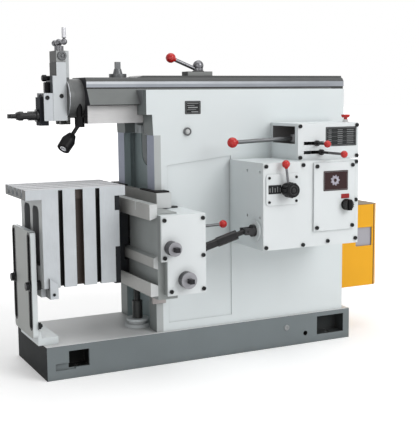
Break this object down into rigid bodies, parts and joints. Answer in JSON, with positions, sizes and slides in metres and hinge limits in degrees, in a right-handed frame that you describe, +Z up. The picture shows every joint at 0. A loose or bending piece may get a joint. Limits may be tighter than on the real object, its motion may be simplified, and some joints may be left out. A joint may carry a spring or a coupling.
{
  "type": "metal shaper",
  "caption": "Crank shaper for metal: ram with swivel tool head on a box column, box table with slots on a raising crossrail, feed and speed boxes, belt guard.",
  "frame": {"origin": "middle of the underside of the base", "axes": "+X to the rear along the ram, -Y to the operator side with the boxes and dials, +Z up"},
  "size_m": [1.752, 1.0335, 1.401],
  "materials": {
    "grey_paint": "light grey machine enamel, satin",
    "base_paint": "dark grey machine enamel",
    "steel": "ground and turned steel",
    "iron": "machined grey iron, lightly oiled",
    "black": "black phenolic",
    "red": "red moulded knob",
    "yellow": "yellow painted sheet",
    "rubber": "black belt rubber",
    "bronze": "cast bronze"
  },
  "bodies": {
    "frame": {"base": "base_paint", "column": "grey_paint", "ram_gibs": "iron", "side_cover": "grey_paint", "feed_box": "grey_paint", "feed_cover": "grey_paint", "switch_panel": "grey_paint", "speed_box": "grey_paint", "speed_cover": "grey_paint", "cover_screws": "steel", "belt_guard": "yellow", "motor": "iron", "v_belts": "rubber", "rocker_pin": "steel", "elev_nut": "steel", "drive_yoke": "steel"},
    "estop": {"estop_button": "red"},
    "clutch": {"clutch_lever": "steel"},
    "shift_a": {"gear_lever_a": "steel"},
    "shift_b": {"gear_lever_b": "steel"},
    "selector": {"feed_selector": "black"},
    "switch": {"switch_knob": "black"},
    "bull": {"bull_gear": "steel"},
    "pinion": {"pinion_shaft": "steel"},
    "input": {"input_shaft": "steel"},
    "rotor": {"motor_pulley": "steel"},
    "crank": {"crank_block": "steel"},
    "ram_block": {"nut_block": "iron", "clamp_block": "steel"},
    "rocker": {"rocker": "iron"},
    "die": {"die_block": "bronze"},
    "clamp": {"clamp_lever": "steel"},
    "ram": {"ram": "iron"},
    "ram_screw": {"ram_screw": "steel"},
    "spindle": {"ram_spindle": "steel"},
    "head_handle": {"head_clamp": "black"},
    "head": {"swivel_head": "steel"},
    "slide": {"tool_slide": "grey_paint"},
    "downfeed": {"downfeed_screw": "steel"},
    "clapper_box": {"clapper_box": "grey_paint"},
    "clapper": {"clapper_block": "steel"},
    "post": {"tool_post": "steel"},
    "knee": {"crossrail": "iron", "rail_keepers": "steel", "rail_gearbox": "grey_paint", "rail_cover": "grey_paint", "rail_screws": "steel"},
    "saddle": {"saddle": "iron", "table": "iron", "table_bolts": "steel"},
    "cross_screw": {"cross_screw": "steel", "cross_dial": "steel"},
    "elev_screw": {"elev_screw": "steel"},
    "elev_shaft": {"elev_shaft": "steel"},
    "elev_dial": {"elev_dial": "steel"},
    "elev_sleeve": {"elev_sleeve": "steel"},
    "direction": {"direction_lever": "steel"},
    "bracket": {"support_bracket": "grey_paint"},
    "drive_outer": {"drive_outer": "steel"},
    "drive_inner": {"drive_inner": "steel"}
  },
  "joints": [
    {"name": "estop_press", "type": "slide", "parent": "frame", "child": "estop", "axis": [0, 0, -1], "range_m": [0, 0.005]},
    {"name": "clutch_swing", "type": "hinge", "parent": "frame", "child": "clutch", "pos_m": [0.346, -0.34, 0.944], "axis": [0, 0, 1], "range_deg": [-14, 14]},
    {"name": "gear_a_shift", "type": "slide", "parent": "frame", "child": "shift_a", "axis": [1, 0, 0], "range_m": [-0.05, 0.03]},
    {"name": "gear_b_shift", "type": "slide", "parent": "frame", "child": "shift_b", "axis": [1, 0, 0], "range_m": [-0.07, 0.008]},
    {"name": "feed_select", "type": "hinge", "parent": "frame", "child": "selector", "pos_m": [0.212, -0.493, 0.746], "axis": [0, 1, 0], "range_deg": [-50, 50]},
    {"name": "switch_turn", "type": "hinge", "parent": "frame", "child": "switch", "pos_m": [0.5, -0.493, 0.668], "axis": [0, 1, 0], "range_deg": [-45, 45]},
    {"name": "bull_spin", "type": "hinge", "parent": "frame", "child": "bull", "pos_m": [0.09, 0, 0.62], "axis": [0, 1, 0], "continuous": true},
    {"name": "pinion_spin", "type": "hinge", "parent": "frame", "child": "pinion", "pos_m": [0.32492, 0, 0.5345], "axis": [0, 1, 0], "continuous": true},
    {"name": "input_spin", "type": "hinge", "parent": "frame", "child": "input", "pos_m": [0.44854, 0, 0.60022], "axis": [0, 1, 0], "continuous": true},
    {"name": "motor_spin", "type": "hinge", "parent": "frame", "child": "rotor", "pos_m": [0.825, 0, 0.45], "axis": [0, 1, 0], "continuous": true},
    {"name": "crank_set", "type": "slide", "parent": "bull", "child": "crank", "axis": [0.3128, 0, 0.9498], "range_m": [-0.085, 0]},
    {"name": "ram_stroke", "type": "slide", "parent": "frame", "child": "ram_block", "axis": [1, 0, 0], "range_m": [-0.31, 0.19]},
    {"name": "rocker_swing", "type": "hinge", "parent": "frame", "child": "rocker", "pos_m": [0.09, 0, 0.2], "axis": [0, 1, 0], "range_deg": [-20.9, 12.81]},
    {"name": "die_slide", "type": "slide", "parent": "rocker", "child": "die", "axis": [0.0706, 0, 0.9975], "range_m": [-0.24, 0.01]},
    {"name": "ram_clamp", "type": "hinge", "parent": "ram_block", "child": "clamp", "pos_m": [0.06, 0, 1.243], "axis": [0, 0, 1], "range_deg": [-40, 40]},
    {"name": "ram_position", "type": "slide", "parent": "ram_block", "child": "ram", "axis": [1, 0, 0], "range_m": [-0.12, 0]},
    {"name": "ram_screw_spin", "type": "hinge", "parent": "ram", "child": "ram_screw", "pos_m": [0, 0, 1.13], "axis": [1, 0, 0], "range_deg": [-4320, 0]},
    {"name": "ram_spindle_spin", "type": "hinge", "parent": "ram", "child": "spindle", "pos_m": [-0.317, 0, 1.203], "axis": [0, 0, 1], "range_deg": [0, 4320]},
    {"name": "head_clamp_turn", "type": "hinge", "parent": "ram", "child": "head_handle", "pos_m": [-0.512, -0.065, 1.038], "axis": [0, 0, 1], "range_deg": [-8, 40]},
    {"name": "head_swivel", "type": "hinge", "parent": "ram", "child": "head", "pos_m": [-0.535, 0, 1.118], "axis": [1, 0, 0], "range_deg": [-60, 60]},
    {"name": "tool_feed", "type": "slide", "parent": "head", "child": "slide", "axis": [0, 0, 1], "range_m": [-0.11, 0]},
    {"name": "downfeed_spin", "type": "hinge", "parent": "head", "child": "downfeed", "pos_m": [-0.57, 0, 1.265], "axis": [0, 0, 1], "range_deg": [-7920, 0]},
    {"name": "clapper_set", "type": "hinge", "parent": "slide", "child": "clapper_box", "pos_m": [-0.615, 0, 1.081], "axis": [1, 0, 0], "range_deg": [-15, 15]},
    {"name": "clapper_lift", "type": "hinge", "parent": "clapper_box", "child": "clapper", "pos_m": [-0.642, 0, 1.125], "axis": [0, 1, 0], "range_deg": [0, 40]},
    {"name": "tool_post_turn", "type": "hinge", "parent": "clapper", "child": "post", "pos_m": [-0.666, 0, 1.05], "axis": [1, 0, 0], "range_deg": [-90, 90]},
    {"name": "knee_lift", "type": "slide", "parent": "frame", "child": "knee", "axis": [0, 0, 1], "range_m": [-0.12, 0.11]},
    {"name": "table_cross", "type": "slide", "parent": "knee", "child": "saddle", "axis": [0, 1, 0], "range_m": [-0.145, 0.32]},
    {"name": "cross_screw_spin", "type": "hinge", "parent": "knee", "child": "cross_screw", "pos_m": [-0.289, 0, 0.541], "axis": [0, 1, 0], "range_deg": [-8700, 19200]},
    {"name": "elev_screw_spin", "type": "hinge", "parent": "knee", "child": "elev_screw", "pos_m": [-0.27, -0.055, 0.33], "axis": [0, 0, 1], "range_deg": [-7200, 6600]},
    {"name": "elev_shaft_spin", "type": "hinge", "parent": "knee", "child": "elev_shaft", "pos_m": [-0.27, -0.2, 0.38], "axis": [0, 1, 0], "range_deg": [-7200, 6600]},
    {"name": "elev_dial_spin", "type": "hinge", "parent": "knee", "child": "elev_dial", "pos_m": [-0.22579, -0.46, 0.411], "axis": [0, 1, 0], "range_deg": [-4537.5, 4950]},
    {"name": "sleeve_rise", "type": "slide", "parent": "frame", "child": "elev_sleeve", "axis": [0, 0, 1], "range_m": [-0.06, 0.055]},
    {"name": "feed_direction", "type": "hinge", "parent": "knee", "child": "direction", "pos_m": [-0.15, -0.36, 0.598], "axis": [0, 1, 0], "range_deg": [-14, 14]},
    {"name": "bracket_slide", "type": "slide", "parent": "frame", "child": "bracket", "axis": [0, 1, 0], "range_m": [-0.145, 0.32]},
    {"name": "drive_swing", "type": "hinge", "parent": "frame", "child": "drive_outer", "pos_m": [0.054, -0.435, 0.578], "axis": [0, 1, 0], "range_deg": [-30.25, 27.73]},
    {"name": "drive_extend", "type": "slide", "parent": "drive_outer", "child": "drive_inner", "axis": [-0.9283, 0.1908, -0.3192], "range_m": [-0.0275, 0.03]}
  ],
  "couplings": [
    {"joint": "pinion_spin", "follows": "bull_spin", "ratio": -4},
    {"joint": "input_spin", "follows": "bull_spin", "ratio": 10},
    {"joint": "motor_spin", "follows": "bull_spin", "ratio": 24.444},
    {"joint": "rocker_swing", "follows": "ram_stroke", "rad_per_m": 1.1765},
    {"joint": "ram_screw_spin", "follows": "ram_position", "rad_per_m": 628.32},
    {"joint": "ram_spindle_spin", "follows": "ram_position", "rad_per_m": -628.32},
    {"joint": "downfeed_spin", "follows": "tool_feed", "rad_per_m": 1256.6},
    {"joint": "cross_screw_spin", "follows": "table_cross", "rad_per_m": 1047.2},
    {"joint": "elev_screw_spin", "follows": "knee_lift", "rad_per_m": 1047.2},
    {"joint": "elev_shaft_spin", "follows": "knee_lift", "rad_per_m": 1047.2},
    {"joint": "elev_dial_spin", "follows": "knee_lift", "rad_per_m": -719.95},
    {"joint": "sleeve_rise", "follows": "knee_lift", "ratio": 0.5},
    {"joint": "bracket_slide", "follows": "table_cross", "ratio": 1},
    {"joint": "drive_swing", "follows": "knee_lift", "rad_per_m": 4.4},
    {"joint": "drive_extend", "follows": "knee_lift", "ratio": -0.25}
  ]
}
